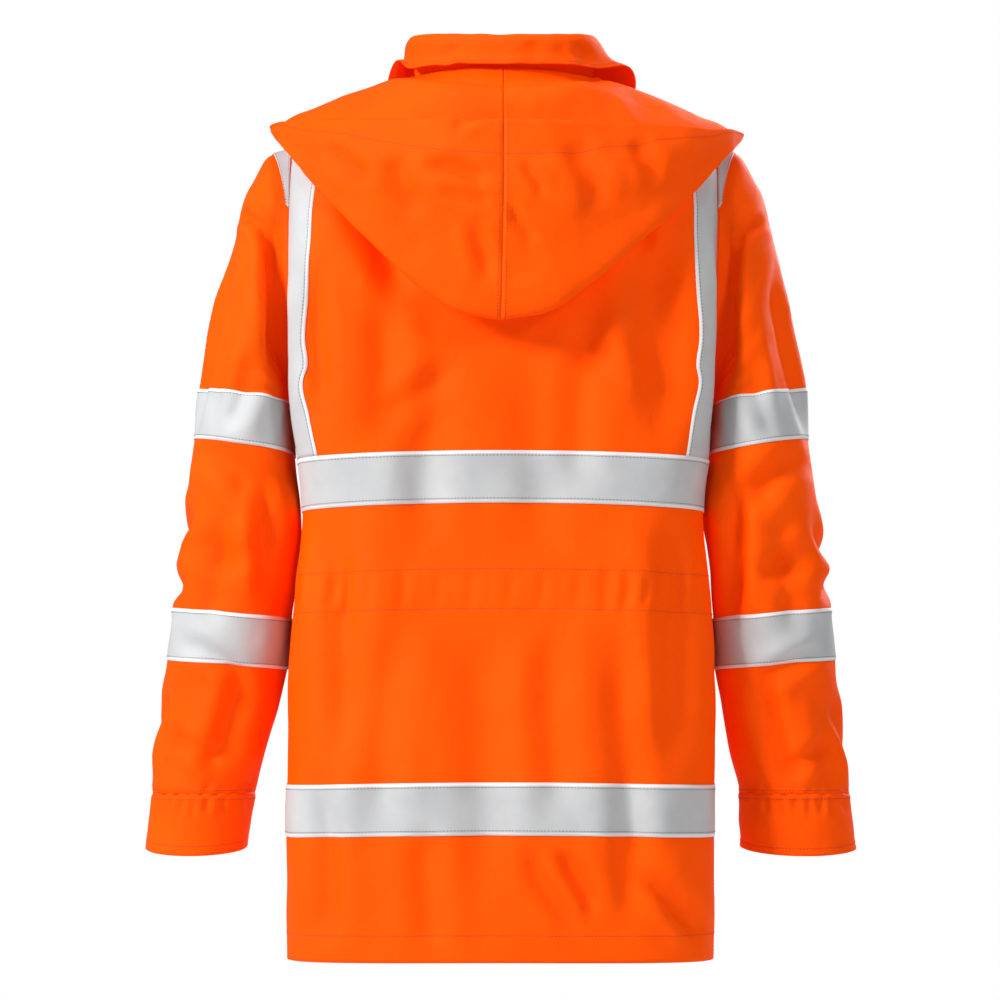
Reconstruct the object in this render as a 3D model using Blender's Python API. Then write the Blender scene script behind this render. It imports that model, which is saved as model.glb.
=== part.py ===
"""High-visibility hooded parka, worn by nobody but filled out, hood laid back.

Sizes below are in millimetres and are turned into metres when a solid is made.
+Z is up, the back of the jacket faces -Y, and +X is the wearer's right.
The origin lies on the centre line, level with the middle of the shoulder seams.
"""
import math

import bmesh
import bpy
from mathutils import Vector
from mathutils.bvhtree import BVHTree

MM = 0.001

# ---- cloth, tape and seams -------------------------------------------------------------------
CLOTH = 1.5            # wall of the coated cloth
TAPE = 1.0             # wall of the reflective tape
SEAM = 0.3             # gap between neighbouring pieces, and under a tape
TAPE_WIDTH = 50.0
CLEAR = 2.6            # a hanging sleeve or a laid-back hood from what it touches

# ---- torso -----------------------------------------------------------------------------------
# One row per level: height, half width, depth to the back and front, squareness of each half.
TORSO_COLUMNS = ("z", "half_width", "back", "front", "square_back", "square_front")
TORSO = (
    (-828, 208.5, 127, 122, 3.4, 2.8),
    (-700, 209.5, 126, 121, 3.5, 2.8),
    (-560, 208.5, 122, 118, 3.7, 2.9),
    (-470, 202.5, 119, 116, 4.0, 3.0),
    (-400, 195.0, 118, 116, 4.3, 3.1),
    (-345, 200.0, 121, 119, 5.0, 3.4),
    (-272, 205.0, 124, 121, 6.5, 4.2),
    (-150, 207.5, 125, 121, 7.5, 5.0),
    (40, 208.0, 125, 119, 7.5, 5.0),
)
LEAN = ((-828, 0.0), (-600, 0.0), (-430, 1.6), (-220, 0.0), (-110, 2.6), (100, 2.2))

HEM_Z = -828.0
HEM_BAND_Z = -708.0
CHEST_BAND_Z = -392.0
UNDERARM_Z = -272.0
SHOULDER_Z = -30.0
SHOULDER_X = 208.0
NECK_Z = 30.0
NECK_HALF = 88.0
NECK_BACK = 73.0
NECK_FRONT = 78.0
FRONT_DROP = 50.0      # how far the neckline falls at the centre front
SHOULDER_ROUND = 130.0  # height over which the shoulder turns into the flat of the back

# Levels of the lower rows, and how far each drops from the middle to the side seam.
LOWER_ROWS = (
    (HEM_Z, -2.0),
    (-768.0, -3.0),
    (HEM_BAND_Z, -4.0),
    (HEM_BAND_Z + TAPE_WIDTH, -4.0),
    (-598.0, -3.0),
    (-545.0, -3.0),
    (-493.0, -4.0),
    (-455.0, -5.0),
    (CHEST_BAND_Z, -5.5),
    (CHEST_BAND_Z + TAPE_WIDTH, -5.5),
    (-305.0, -3.0),
)
ARMHOLE_STEPS = 8
ARMHOLE_HALF_DEPTH = 72.0
# From the underarm up: the gap along the cloth between the armhole and the brace's outer edge.
BRACE_GAP = (62.0, 38.0, 15.0, 4.4, 3.8, 3.8, 3.8, 3.8, 3.8)
BRACE_GAP_LOWER = 62.0
# Columns between the brace and the centre line. On the top row the neck's end parts them.
SHOULDER_SHARES = (0.5, 1.0)
NECK_SHARES = (0.21, 0.41, 0.61, 0.81, 1.0)
NECK_COLUMN = len(SHOULDER_SHARES)
NECK_SHARE_BELOW = 0.38
BRACE_COLUMNS = 2
OUTER_COLUMNS = 2
FLAP_HALF = 32.0
FLAP_GAP = 0.5         # between the fronts and the strip over them

# ---- sleeves ---------------------------------------------------------------------------------
# One row per ring, from the armhole down. Outer and inner points lie in the sleeve's middle
# plane; the inner points of the left and right sleeves differ below the elbow.
SLEEVE_COLUMNS = ("outer_x", "outer_z", "inner_left", "inner_right", "inner_z",
                  "half_depth", "forward", "flatness")
SLEEVE = (
    (234.5, -42.0, 210.5, 210.5, -274.0, 75, 0, 2.0),
    (250.5, -70.0, 211.0, 211.0, -276.0, 78, 0, 2.2),
    (266.5, -127.0, 211.0, 211.0, -278.5, 81, 0, 2.4),
    (279.5, -184.0, 210.0, 210.0, -281.0, 82, 0, 2.7),
    (289.5, -236.0, 209.0, 209.0, -284.5, 82, 0, 3.0),
    (296.5, -274.0, 207.5, 207.5, -290.0, 81, 0, 3.4),
    (303.0, -324.0, 204.0, 204.0, -340.0, 79, 1, 3.6),
    (310.5, -385.0, 198.0, 198.0, -398.0, 75, 3, 3.6),
    (317.0, -445.0, 203.0, 203.0, -452.0, 70, 5, 3.2),
    (323.0, -490.0, 207.0, 207.0, -500.0, 66, 7, 2.8),
    (330.5, -541.0, 212.5, 212.0, -550.0, 62, 9, 2.4),
    (334.5, -582.0, 220.0, 220.0, -586.0, 59, 11, 2.2),
    (339.5, -632.0, 233.5, 227.5, -634.0, 57, 12, 2.0),
    (343.5, -672.0, 243.0, 235.0, -672.0, 55, 13, 2.0),
)
OUTER_STEPS = 3        # points this near the outer line never touch the body
UPPER_BAND_RING = 6    # the band runs from this ring of the whole sleeve to the next one
LOWER_BAND_RING = 10
CUFF = (
    (344.5, -674.0, 242.3, 234.3, -674.0, 56, 13, 2.0),
    (347.5, -700.0, 246.8, 235.2, -700.0, 56, 13.5, 2.0),
    (350.5, -725.0, 250.0, 236.0, -724.0, 56, 14, 2.0),
)
CUFF_BACK_DIP = 7.0    # the cuff's edge is lower behind than in front

# ---- sleeve-head tape ------------------------------------------------------------------------
# Share of the first ring's width that the tape takes, from the shoulder seam outwards.
HEAD_TAPE = (0.92, 0.80, 0.52, 0.16)
HEAD_TAPE_LIFT = 0.6

# ---- collar ----------------------------------------------------------------------------------
COLLAR_STAND = 34.5    # height of the stand at the centre back
COLLAR_FALL = 30.0     # height of the turned-down part at the centre back
COLLAR_SPREAD = 15.0   # how far the fall's edge stands off the stand
COLLAR_FOLD = 5.2      # thickness of the fold along the top
COLLAR_FOLD_DROP = 4.0
COLLAR_BEND = (0.68, 0.36)  # shares of the fall's drop and spread at its middle row
# Degrees round the neck, then what is added to the stand's height and lean, and to the fall's
# height and spread on the right and on the left.
COLLAR_COLUMNS = ("angle", "stand", "lean", "fall_right", "fall_left", "spread_right", "spread_left")
COLLAR = (
    (0, 0.5, 0, 0, 0, 0, 0),
    (35, 4, 0, 1, 1, 0, 0),
    (60, 8, 1, 4, 4, 1, 1),
    (75, 10, 2, 8, 6, 4, 1),
    (90, 6, 3, 17, 9, 47, 2),
    (110, 0, 3, 18, 14, 38, 14),
    (128, -6, 1, 22, 22, 34, 24),
    (144, -10, 0, 30, 30, 32, 26),
    (166, -15, 0, 38, 38, 26, 22),
)
FALL_ROW = 5           # rows of the collar from this one on may move to clear the hood

# ---- hood ------------------------------------------------------------------------------------
# One row per station from the centre seam (first) to the throat (last). Each names a point on
# the neck by its angle, the crest where the cloth rolls over, the fold at the bottom of the
# hanging pouch and the face edge.
HOOD_COLUMNS = ("angle", "roll", "fold", "edge")
HOOD = (
    (0, (0, -98, 6.0), (0, -150, -216), (0, -171, -33)),
    (15, (30, -96, 7.5), (44, -151, -207), (44, -168, -33)),
    (30, (56, -88, 10.5), (86, -147, -178), (88, -156, -32)),
    (45, (76, -76, 16.0), (126, -139, -141), (128, -140, -31)),
    (58, (91, -60, 23.0), (162, -124, -106), (163, -120, -29)),
    (70, (99, -42, 29.0), (193, -96, -72), (193, -93, -27)),
    (82, (103, -24, 32.0), (217, -62, -40), (214, -62, -22)),
    (94, (106, -4, 33.0), (224, -36, -27), (226, -34, -20)),
    (108, (107, 16, 31.0), (196, 14, -9), (192, 18, -4)),
    (124, (98, 38, 22.0), (150, 58, -22), (144, 62, -17)),
    (142, (78, 60, 6.0), (98, 92, -48), (92, 96, -42)),
)
HOOD_VALLEY = 7.0      # dip between the neck seam and the roll at the centre back
HOOD_VALLEY_END = 75.0  # degrees round the neck at which the dip has died out
HOOD_BULGE = 17.0      # how far the pouch's outer layer swells at the centre
HOOD_FULL_DEPTH = 90.0  # length of the outer layer from which the pouch has its full shape
HOOD_SAG = 14.0        # how far the inner layer bows up where the pouch is deep
HOOD_ARCH = 7.0        # the same where it is shallow, at the sides
HOOD_INNER_ROWS = (0.3, 0.7)
HOOD_OUTER_ROWS = ((0.3, 0.85), (0.66, 1.0))  # share of the way up, share of the bulge
HOOD_FOLD_IN = (0.0, 12.0, 3.0)     # the rounded bottom of the pouch: its inner corner
HOOD_FOLD_OUT = (0.0, -9.0, -5.0)   # and its outer one
HOOD_TIP_RIGHT = 1.035  # the right point of the hood lies further out than the left one
HOOD_TILT = 0.017      # the hood lies lower on the right
HOOD_OFF_NECK = 3.0
HOOD_RISE = 2.5        # the hood's neck edge above the neck seam

ORANGE = (1.0, 0.108, 0.0, 1.0)
SILVER = (0.62, 0.63, 0.64, 1.0)


# ---- small helpers ---------------------------------------------------------------------------
def clamp(value, low=0.0, high=1.0):
    return max(low, min(high, value))


def mix(a, b, t):
    return a + (b - a) * t


def smooth(t):
    t = clamp(t)
    return t * t * (3.0 - 2.0 * t)


def power(value, exponent):
    return math.copysign(abs(value) ** exponent, value)


def look_up(table, key):
    """Values of a table's columns at key, on a smooth curve through its rows."""
    rows = sorted(table)
    key = clamp(key, rows[0][0], rows[-1][0])
    i = 0
    while i < len(rows) - 2 and key > rows[i + 1][0]:
        i += 1
    before, low, high, after = rows[max(i - 1, 0)], rows[i], rows[i + 1], rows[min(i + 2, len(rows) - 1)]
    span = high[0] - low[0]
    t = (key - low[0]) / span
    values = []
    for column in range(1, len(low)):
        slope_low = (high[column] - before[column]) / (high[0] - before[0]) * span
        slope_high = (after[column] - low[column]) / (after[0] - low[0]) * span
        step = high[column] - low[column]
        values.append(low[column] + t * slope_low
                      + t * t * (3.0 * step - 2.0 * slope_low - slope_high)
                      + t * t * t * (slope_low + slope_high - 2.0 * step))
    return values


def lean(z):
    return look_up(LEAN, z)[0]


# ---- cloth grids -----------------------------------------------------------------------------
class Cloth:
    """A grid of points on a piece of cloth, with the outward direction at each."""

    def __init__(self, points, closed=False, flip=False, normals=None):
        self.points = points
        self.closed = closed
        self.flip = flip
        self.normals = normals or self._normals()

    def _normals(self):
        rows, cols = len(self.points), len(self.points[0])
        sums = [[Vector((0, 0, 0)) for _ in range(cols)] for _ in range(rows)]
        for r in range(rows - 1):
            for c in range(cols if self.closed else cols - 1):
                d = (c + 1) % cols
                corners = ((r, c), (r, d), (r + 1, d), (r + 1, c))
                p = [self.points[i][j] for i, j in corners]
                normal = (p[2] - p[0]).cross(p[3] - p[1])
                for i, j in corners:
                    sums[i][j] += normal
        sign = -1.0 if self.flip else 1.0
        return [[n.normalized() * sign for n in row] for row in sums]

    def cut(self, rows, cols):
        """The part of the grid on the given rows and columns."""
        points = [[self.points[r][c] for c in cols] for r in rows]
        normals = [[self.normals[r][c] for c in cols] for r in rows]
        closed = self.closed and len(cols) == len(self.points[0])
        return Cloth(points, closed, self.flip, normals)

    def square_column(self, column, axis):
        """Squares the wall's edge to the seam down a column, to keep neighbours apart."""
        for row in self.normals:
            row[column][axis] = 0.0
            row[column].normalize()

    def square_shoulder(self):
        """The same along the shoulder seam: the top row outside the neck."""
        for point, normal in zip(self.points[-1], self.normals[-1]):
            if abs(point.y) < SEAM:
                normal.y = 0.0
                normal.normalize()

    def offset(self, distance):
        return [[p + n * distance for p, n in zip(prow, nrow)]
                for prow, nrow in zip(self.points, self.normals)]


def triangles(rows, cols, closed, start=0):
    """Two triangles for each cell of a grid, always cut along the same diagonal."""
    faces = []
    for r in range(rows - 1):
        for c in range(cols if closed else cols - 1):
            d = (c + 1) % cols
            a, b = start + r * cols + c, start + r * cols + d
            e, f = b + cols, a + cols
            faces += [(a, b, e), (a, e, f)]
    return faces


def border(rows, cols, closed):
    """Index pairs along the grid's open edges, in order."""
    at = lambda r, c: r * cols + c % cols
    last = rows - 1
    if closed:
        return ([(at(0, c), at(0, c + 1)) for c in range(cols)]
                + [(at(last, c + 1), at(last, c)) for c in range(cols)])
    return ([(at(0, c), at(0, c + 1)) for c in range(cols - 1)]
            + [(at(r, cols - 1), at(r + 1, cols - 1)) for r in range(last)]
            + [(at(last, c + 1), at(last, c)) for c in range(cols - 1)]
            + [(at(r + 1, 0), at(r, 0)) for r in range(last)])


def wall(name, cloth, inner, outer, material):
    """A closed wall between two offsets of a piece of cloth."""
    rows, cols = len(cloth.points), len(cloth.points[0])
    count = rows * cols
    bm = bmesh.new()
    for layer in (outer, inner):
        for row in cloth.offset(layer):
            for point in row:
                bm.verts.new(point * MM)
    bm.verts.ensure_lookup_table()
    faces = triangles(rows, cols, cloth.closed)
    faces += [tuple(reversed(face)) for face in triangles(rows, cols, cloth.closed, count)]
    for a, b in border(rows, cols, cloth.closed):
        faces += [(b, a, a + count), (b, a + count, b + count)]
    for face in faces:
        bm.faces.new([bm.verts[i] for i in face]).smooth = True
    bmesh.ops.recalc_face_normals(bm, faces=bm.faces)
    mesh = bpy.data.meshes.new(name)
    bm.to_mesh(mesh)
    bm.free()
    mesh.materials.append(material)
    piece = bpy.data.objects.new(name, mesh)
    bpy.context.scene.collection.objects.link(piece)
    return piece


def panel(name, cloth, material):
    return wall(name, cloth, -CLOTH, 0.0, material)


def tape(name, cloth, material, lift=SEAM):
    return wall(name, cloth, lift, lift + TAPE, material)


def skin(cloths, lift):
    """The outside of some pieces, raised by lift, to keep other cloth off it."""
    verts, faces = [], []
    for cloth in cloths:
        start = len(verts)
        for row in cloth.offset(lift):
            verts += row
        found = triangles(len(cloth.points), len(cloth.points[0]), cloth.closed, start)
        faces += [tuple(reversed(face)) for face in found] if cloth.flip else found
    return BVHTree.FromPolygons(verts, faces)


def push_out(point, surface, gap):
    """The move that takes a point to at least gap outside a surface."""
    place, normal, _, _ = surface.find_nearest(point)
    away = (point - place).dot(normal)
    return normal * max(gap - away, 0.0)


def keep_off(point, surface, gap):
    return point + push_out(point, surface, gap)


def settle(rows, surface, gap, first=1, passes=14):
    """Moves a grid's points out until its cells, as well as its points, clear a surface."""
    for _ in range(passes):
        moves = {}
        for r in range(first, len(rows)):
            for c in range(len(rows[r])):
                moves.setdefault((r, c), []).append(push_out(rows[r][c], surface, gap))
                for s, d in ((r + 1, c), (r, c + 1), (r + 1, c + 1)):
                    if s < len(rows) and d < len(rows[r]):
                        middle = (rows[r][c] + rows[s][d]) * 0.5
                        move = push_out(middle, surface, gap)
                        moves[(r, c)].append(move)
                        moves.setdefault((s, d), []).append(move)
        for (r, c), found in moves.items():
            rows[r][c] = rows[r][c] + max(found, key=lambda move: move.length)
    return rows


# ---- torso -----------------------------------------------------------------------------------
def top_edge(x, side):
    """Depth and height of the panel's top edge: neckline inside, shoulder seam outside."""
    x = abs(x)
    share = clamp(x / NECK_HALF)
    inside = math.sqrt(1.0 - share * share)
    depth = (NECK_FRONT if side > 0 else NECK_BACK) * inside
    height = NECK_Z - (FRONT_DROP * inside * inside if side > 0 else 0.0)
    slope = clamp((x - NECK_HALF) / (SHOULDER_X - NECK_HALF))
    return depth, mix(height, SHOULDER_Z, slope)


def fullness(drop, x):
    """How much of its full depth the torso has at a drop below its top edge."""
    t = clamp(drop / SHOULDER_ROUND)
    exponent = mix(1.0, 0.5, clamp(abs(x) / NECK_HALF))
    return (1.0 - (1.0 - t) ** 2) ** exponent


def torso_point(theta, height, side, rise=None, sag=0.0):
    """A point on the torso. Theta runs from the centre line (0) to the side (90 degrees).

    Below the underarm the row is at one height. Above it, rise is the row's share of the way
    from the underarm to the top edge.
    """
    half_width, back, front, square_back, square_front = look_up(TORSO, height)
    depth, square = (front, square_front) if side > 0 else (back, square_back)
    x = half_width * power(math.sin(theta), 2.0 / square)
    y = depth * power(max(math.cos(theta), 0.0), 2.0 / square)
    edge_depth, edge_height = top_edge(x, side)
    if rise is None:
        z = height + sag * (x / half_width) ** 2
    else:
        even = rise_even(rise)
        share = mix(even, rise, smooth((x / half_width - 0.3) / 0.6))
        z = mix(UNDERARM_Z, edge_height, share)
    y = edge_depth + (y - edge_depth) * fullness(edge_height - z, x)
    return Vector((x, side * max(y, 0.0), z))


def rise_even(rise):
    """Turns the armhole's cosine spacing into even spacing for the middle of the panel."""
    return math.acos(clamp(1.0 - 2.0 * rise, -1.0, 1.0)) / math.pi


def armhole_theta(height, side, rise, depth):
    """Where a row meets the armhole: the torso's depth there is the armhole's."""
    low, high = math.radians(20.0), math.radians(90.0)
    if depth < 0.5:
        return high
    for _ in range(40):
        middle = 0.5 * (low + high)
        if abs(torso_point(middle, height, side, rise).y) > depth:
            low = middle
        else:
            high = middle
    return low


def fine_thetas(theta_edge, square):
    """Close steps from the edge to the centre line: even round the corner, then even in x."""
    corner = 0.85
    theta_corner = min(math.asin(corner ** (0.5 * square)), 0.9 * theta_edge)
    corner = math.sin(theta_corner) ** (2.0 / square)
    steps = 90
    round_part = [mix(theta_edge, theta_corner, i / steps) for i in range(steps)]
    flat_part = [math.asin((corner * (1.0 - i / steps)) ** (0.5 * square)) for i in range(steps + 1)]
    return round_part + flat_part


def spread(row_point, thetas, marks, middle, rise=0.0):
    """Points along a row: at lengths from its outer edge, then at shares of the rest.

    Where middle is given, the last point but one is that far from the centre line.
    """
    points = [row_point(theta) for theta in thetas]
    lengths = [0.0]
    for a, b in zip(points, points[1:]):
        lengths.append(lengths[-1] + (b - a).length)
    neck_end = next(length for point, length in zip(points, lengths) if point.x <= NECK_HALF)
    corner = mix(mix(marks[-1], lengths[-1], NECK_SHARE_BELOW), neck_end, rise)
    wanted = marks + [mix(marks[-1], corner, share) for share in SHOULDER_SHARES]
    wanted += [mix(corner, lengths[-1], share) for share in NECK_SHARES]
    if middle is not None:
        wanted[-2] = lengths[-1] - middle
    found = []
    for want in wanted:
        i = 0
        while i < len(points) - 2 and lengths[i + 1] < want:
            i += 1
        t = clamp((want - lengths[i]) / max(lengths[i + 1] - lengths[i], 1e-9))
        found.append(points[i].lerp(points[i + 1], t))
    return found


def row_marks(gap):
    """Lengths from the edge: across the outer cloth, then across the brace."""
    marks = [gap * i / OUTER_COLUMNS for i in range(OUTER_COLUMNS + 1)]
    marks += [gap + TAPE_WIDTH * (i + 1) / BRACE_COLUMNS for i in range(BRACE_COLUMNS)]
    return marks


def half_torso(side):
    """Rows of points from the hem up, each from the side seam or armhole to the centre line."""
    middle = FLAP_HALF + 2.0 if side > 0 else None
    rows = []
    column = TORSO_COLUMNS.index("square_front" if side > 0 else "square_back") - 1
    for height, sag in LOWER_ROWS:
        row_point = lambda t, h=height, s=sag: torso_point(t, h, side, None, s)
        thetas = fine_thetas(math.radians(90.0), look_up(TORSO, height)[column])
        rows.append(spread(row_point, thetas, row_marks(BRACE_GAP_LOWER), middle))
    for step in range(ARMHOLE_STEPS + 1):
        angle = math.pi * step / ARMHOLE_STEPS
        rise = 0.5 * (1.0 - math.cos(angle))
        height = mix(UNDERARM_Z, SHOULDER_Z, rise)
        depth = ARMHOLE_HALF_DEPTH * math.sin(angle)
        edge = armhole_theta(height, side, rise, depth)
        row_point = lambda t, h=height, s=rise: torso_point(t, h, side, s)
        thetas = fine_thetas(edge, look_up(TORSO, height)[column])
        rows.append(spread(row_point, thetas, row_marks(BRACE_GAP[step]), middle, rise))
    return rows


def placed(rows, mirror, gap_x=0.0, gap_y=0.0):
    """Leaned copy of rows on the right (mirror 1) or the left (mirror -1) of the body."""
    out = []
    for row in rows:
        new = []
        for point in row:
            x = mirror * max(point.x, gap_x) + lean(point.z)
            y = math.copysign(max(abs(point.y), gap_y), point.y if point.y else gap_y)
            new.append(Vector((x, y, point.z)))
        out.append(new)
    return out


def back_cloth(rows):
    """The whole back: the left half, then the right half without the shared centre column."""
    left = placed(rows, -1)
    right = placed(rows, 1)
    whole = []
    for l_row, r_row in zip(left, right):
        row = l_row + list(reversed(r_row))[1:]
        for point in row:
            point.y = min(point.y, -0.5 * SEAM)
        whole.append(row)
    cloth = Cloth(whole)
    cloth.square_shoulder()
    for column in (0, len(whole[0]) - 1):
        cloth.square_column(column, axis=1)
    return cloth


def front_cloth(rows, mirror):
    """One front. Its columns run from the wearer's right to the left, as seen from the front."""
    points = placed(rows, mirror, gap_x=0.5 * SEAM)
    for row in points:
        for point in row:
            point.y = max(point.y, 0.5 * SEAM)
    if mirror < 0:
        points = [list(reversed(row)) for row in points]
    last = len(points[0]) - 1
    side, centre = (0, last) if mirror > 0 else (last, 0)
    cloth = Cloth(points)
    cloth.square_shoulder()
    cloth.square_column(side, axis=1)
    cloth.square_column(centre, axis=0)
    return cloth


def from_side(cloth, columns, at_first):
    """Column numbers counted from the side seam, put in the cloth's own order."""
    last = len(cloth.points[0]) - 1
    return sorted(c if at_first else last - c for c in columns)


def flap_cloth(front_rows):
    """A strip down the centre front, lying on both fronts."""
    points = []
    for row in front_rows:
        edge = row[-2]
        centre = row[-1]
        share = FLAP_HALF / edge.x
        side = centre.lerp(edge, share)
        left = Vector((-side.x + lean(side.z), side.y, side.z))
        right = Vector((side.x + lean(side.z), side.y, side.z))
        points.append([right, Vector((lean(centre.z), centre.y, centre.z)), left])
    return Cloth(points)


# ---- sleeves ---------------------------------------------------------------------------------
def ring(row, mirror, dip=0.0):
    """One ring of a sleeve, from the underarm behind, over the outside, back in front."""
    entry = dict(zip(SLEEVE_COLUMNS, row))
    inner_x = entry["inner_right"] if mirror > 0 else entry["inner_left"]
    outer = Vector((entry["outer_x"], 0.0, entry["outer_z"]))
    inner = Vector((inner_x, 0.0, entry["inner_z"]))
    centre = (outer + inner) * 0.5
    half = (outer - inner) * 0.5
    points = []
    count = 2 * ARMHOLE_STEPS
    for step in range(count):
        angle = 2.0 * math.pi * step / count
        along = -math.cos(angle)
        across = math.sin(angle)
        if along < 0.0:
            along = power(along, 2.0 / entry["flatness"])
        depth = entry["forward"] - across * entry["half_depth"]
        point = centre + half * along + Vector((0.0, depth, -dip * across))
        points.append(Vector((mirror * point.x + lean(point.z), point.y, point.z)))
    return points


def armhole_ring(back_edge, front_edge, mirror):
    """The sleeve's first ring: the armhole's own points, one seam's width further out."""
    loop = back_edge + list(reversed(front_edge))[1:-1]
    points = []
    for point in loop:
        points.append(point + Vector((mirror * SEAM, 0.0, 0.0)))
    points[0].y = 0.0
    points[ARMHOLE_STEPS].y = 0.0
    return points


def sleeve_cloth(first, mirror, body):
    rings = [first]
    for row in SLEEVE:
        points = ring(row, mirror)
        for step, point in enumerate(points):
            if abs(step - ARMHOLE_STEPS) > OUTER_STEPS:
                points[step] = keep_off(point, body, CLEAR)
        rings.append(points)
    return Cloth(rings, closed=True, flip=mirror > 0)


def cuff_cloth(mirror):
    rings = []
    for i, row in enumerate(CUFF):
        dip = CUFF_BACK_DIP * i / (len(CUFF) - 1)
        rings.append(ring(row, mirror, dip))
    return Cloth(rings, closed=True, flip=mirror > 0)


def head_tape_cloth(sleeve):
    """A curved tape on the sleeve head, widest at the shoulder seam."""
    near, far = sleeve.points[0], sleeve.points[1]
    near_n, far_n = sleeve.normals[0], sleeve.normals[1]
    reach = len(HEAD_TAPE) - 1
    rows, normals = [[], []], [[], []]
    for offset in range(-reach, reach + 1):
        i = ARMHOLE_STEPS + offset
        for k, share in enumerate((0.05, HEAD_TAPE[abs(offset)])):
            rows[k].append(near[i].lerp(far[i], share))
            normals[k].append(near_n[i].lerp(far_n[i], share).normalized())
    return Cloth(rows, flip=sleeve.flip, normals=normals)


# ---- collar ----------------------------------------------------------------------------------
def neck_point(angle, grow=0.0):
    """A point on the neck seam, angle degrees round from the centre back."""
    turn = math.radians(angle)
    depth = NECK_BACK if angle <= 90.0 else NECK_FRONT
    drop = FRONT_DROP * math.cos(turn) ** 2 if angle > 90.0 else 0.0
    x = (NECK_HALF + grow) * math.sin(turn)
    y = -(depth + grow) * math.cos(turn)
    return Vector((x, y, NECK_Z - drop))


def outward(angle):
    turn = math.radians(angle)
    return Vector((math.sin(turn), -math.cos(turn), 0.0))


def collar_column(seam_point, mirror):
    """One line up the stand, over the fold and down the fall, from a point of the neckline."""
    across = (seam_point.x - lean(seam_point.z)) * mirror / NECK_HALF
    angle = math.degrees(math.asin(clamp(across)))
    if seam_point.y > SEAM:
        angle = 180.0 - angle
    entry = dict(zip(COLLAR_COLUMNS[1:], look_up(COLLAR, angle)))
    side = "right" if mirror > 0 else "left"
    height = COLLAR_STAND + entry["stand"]
    drop = COLLAR_FALL + entry["fall_" + side]
    top, fold = entry["lean"], entry["lean"] + COLLAR_FOLD
    edge = entry["lean"] + COLLAR_SPREAD + entry["spread_" + side]
    shape = (
        (SEAM, 0.0),
        (height * 0.5, top * 0.5),
        (height - COLLAR_FOLD_DROP, top),
        (height, (top + fold) * 0.5),
        (height - COLLAR_FOLD_DROP, fold),
        (height - drop * COLLAR_BEND[0], mix(fold, edge, COLLAR_BEND[1])),
        (height - drop, edge),
    )
    out = outward(angle)
    out.x *= mirror
    return [seam_point + Vector((0.0, 0.0, up)) + out * away for up, away in shape]


def neckline(back, fronts):
    """The panels' own points round the neck, from the left front to the right front."""
    inside = OUTER_COLUMNS + BRACE_COLUMNS + NECK_COLUMN
    back_row = back.points[-1]
    behind = back_row[inside:len(back_row) - inside]
    left = fronts["left"].points[-1][1:len(fronts["left"].points[-1]) - inside - 1]
    right = fronts["right"].points[-1][inside + 1:-1]
    return left, behind, right


def collar_cloth(back, fronts, below):
    left, behind, right = neckline(back, fronts)
    middle = len(behind) // 2
    columns = [collar_column(point, -1) for point in left + behind[:middle]]
    columns += [collar_column(point, 1) for point in behind[middle:] + right]
    rows = [[column[r] for column in columns] for r in range(len(columns[0]))]
    return Cloth(settle(rows, below, CLEAR + CLOTH, first=FALL_ROW))


# ---- hood ------------------------------------------------------------------------------------
def hood_column(station, mirror, share):
    """One line from the neck over the roll, down the inner layer and up the outer one."""
    angle, roll, fold, edge = station
    stretch = Vector((mix(1.0, HOOD_TIP_RIGHT, share) if mirror > 0 else 1.0, 1.0, 1.0))
    neck = neck_point(angle, HOOD_OFF_NECK) + Vector((0.0, 0.0, HOOD_RISE))
    roll, fold, edge = (Vector(p) * stretch for p in (roll, fold, edge))
    centre = 1.0 - smooth(angle / HOOD_VALLEY_END)
    valley = (neck + roll) * 0.5 - Vector((0.0, 0.0, HOOD_VALLEY * centre))
    pouch = smooth((edge - fold).length / HOOD_FULL_DEPTH)
    column = [neck, valley, roll]
    for t in HOOD_INNER_ROWS:
        bow = HOOD_SAG * pouch * (1.0 - t) + HOOD_ARCH * (1.0 - pouch) * 4.0 * t * (1.0 - t)
        column.append(roll.lerp(fold, t) + Vector((0.0, 0.0, bow)))
    fold_in = Vector(HOOD_FOLD_IN) * pouch
    fold_in.z = HOOD_FOLD_IN[2]
    column.append(fold + fold_in)
    column.append(fold + Vector(HOOD_FOLD_OUT) * pouch)
    for t, weight in HOOD_OUTER_ROWS:
        column.append(fold.lerp(edge, t) + Vector((0.0, -HOOD_BULGE * pouch * weight, 0.0)))
    column.append(edge)
    return [Vector((mirror * p.x + lean(p.z), p.y, p.z - HOOD_TILT * mirror * p.x)) for p in column]


def hood_cloth(mirror, wearing):
    last = len(HOOD) - 1
    columns = [hood_column(s, mirror, i / last) for i, s in enumerate(HOOD)]
    rows = [[column[r] for column in columns] for r in range(len(columns[0]))]
    rows = settle(rows, wearing, CLEAR + CLOTH, first=0)
    for row in rows:
        row[0].x = lean(row[0].z) + mirror * 0.5 * SEAM
    cloth = Cloth(rows, flip=mirror > 0)
    cloth.square_column(0, axis=0)
    return cloth


# ---- materials and the whole jacket ----------------------------------------------------------
def finish(name, colour, roughness, metallic=0.0):
    material = bpy.data.materials.new(name)
    material.use_nodes = True
    shader = material.node_tree.nodes["Principled BSDF"]
    shader.inputs["Base Color"].default_value = colour
    shader.inputs["Roughness"].default_value = roughness
    shader.inputs["Metallic"].default_value = metallic
    material.diffuse_color = colour
    return material


def orange(name):
    return finish("coated_cloth_" + name, ORANGE, 0.55)


def silver(name):
    return finish("reflective_tape_" + name, SILVER, 0.35, 0.3)


def add_panel(name, cloth):
    return panel(name, cloth, orange(name))


def add_tape(name, cloth, lift=SEAM):
    return tape(name, cloth, silver(name), lift)


def band_rows(level):
    levels = [height for height, _ in LOWER_ROWS]
    first = levels.index(level)
    return (first, first + 1)


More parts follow.
